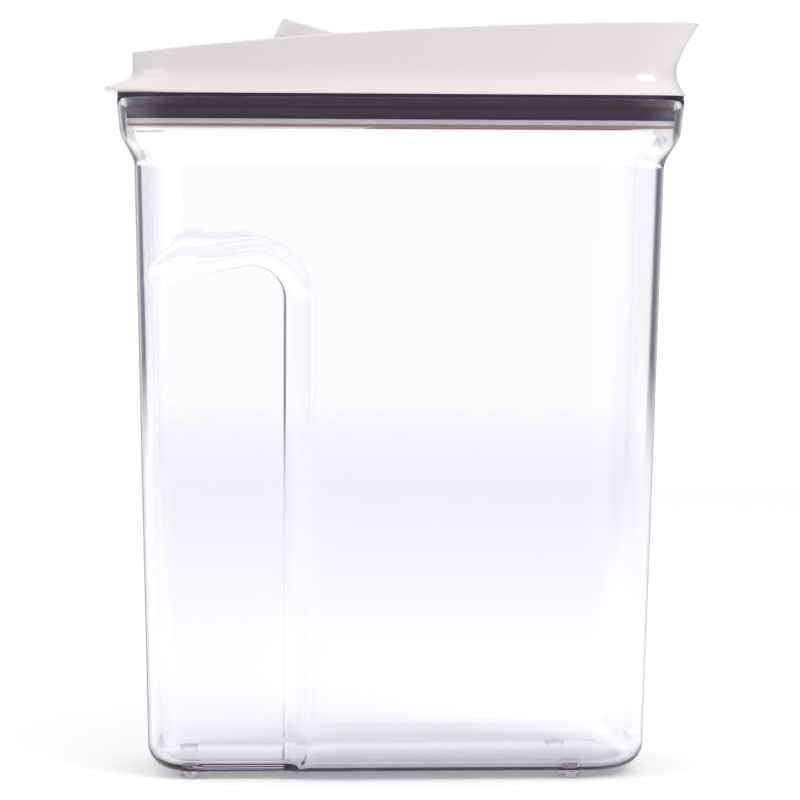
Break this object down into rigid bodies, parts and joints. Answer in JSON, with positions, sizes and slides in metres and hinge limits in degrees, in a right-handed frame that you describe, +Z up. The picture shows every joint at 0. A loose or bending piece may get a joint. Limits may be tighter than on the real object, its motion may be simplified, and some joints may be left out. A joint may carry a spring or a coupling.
{
  "type": "food canister",
  "caption": "Tall rectangular dry-food canister: clear tapered container with grip recesses, white lift-off lid with a dark seal, and a hinged pour flap with a thumb tab.",
  "frame": {"origin": "middle of the bounding box on the resting plane, which the undersides of the four feet lie on", "axes": "+Z up, +X towards the pour spout, +Y to the right as seen when facing the spout"},
  "size_m": [0.2425, 0.1086, 0.3114],
  "materials": {
    "clear_body": "clear polished, faint violet-grey tint at the edges",
    "clear_foot": "clear, soft, glossy",
    "white_gloss": "warm white, glossy",
    "white_satin": "white, satin",
    "dark_seal": "very dark violet, smooth",
    "pale_seal": "milky white silicone",
    "pin_steel": "plain stainless"
  },
  "bodies": {
    "container": {"container_body": "clear_body", "foot_front_left": "clear_foot", "foot_front_right": "clear_foot", "foot_rear_left": "clear_foot", "foot_rear_right": "clear_foot"},
    "lid": {"lid_shell": "white_gloss", "lid_frame": "white_satin", "lid_seal": "dark_seal", "hinge_pin_left": "pin_steel", "hinge_pin_right": "pin_steel"},
    "flap": {"pour_flap": "white_gloss", "flap_liner": "white_satin", "flap_seal": "pale_seal"}
  },
  "joints": [
    {"name": "lid_lift", "type": "slide", "parent": "container", "child": "lid", "axis": [0, 0, 1], "range_m": [0, 0.15]},
    {"name": "flap_hinge", "type": "hinge", "parent": "lid", "child": "flap", "pos_m": [-0.033, 0, 0.2983], "axis": [0, -1, 0], "range_deg": [0, 88]}
  ]
}
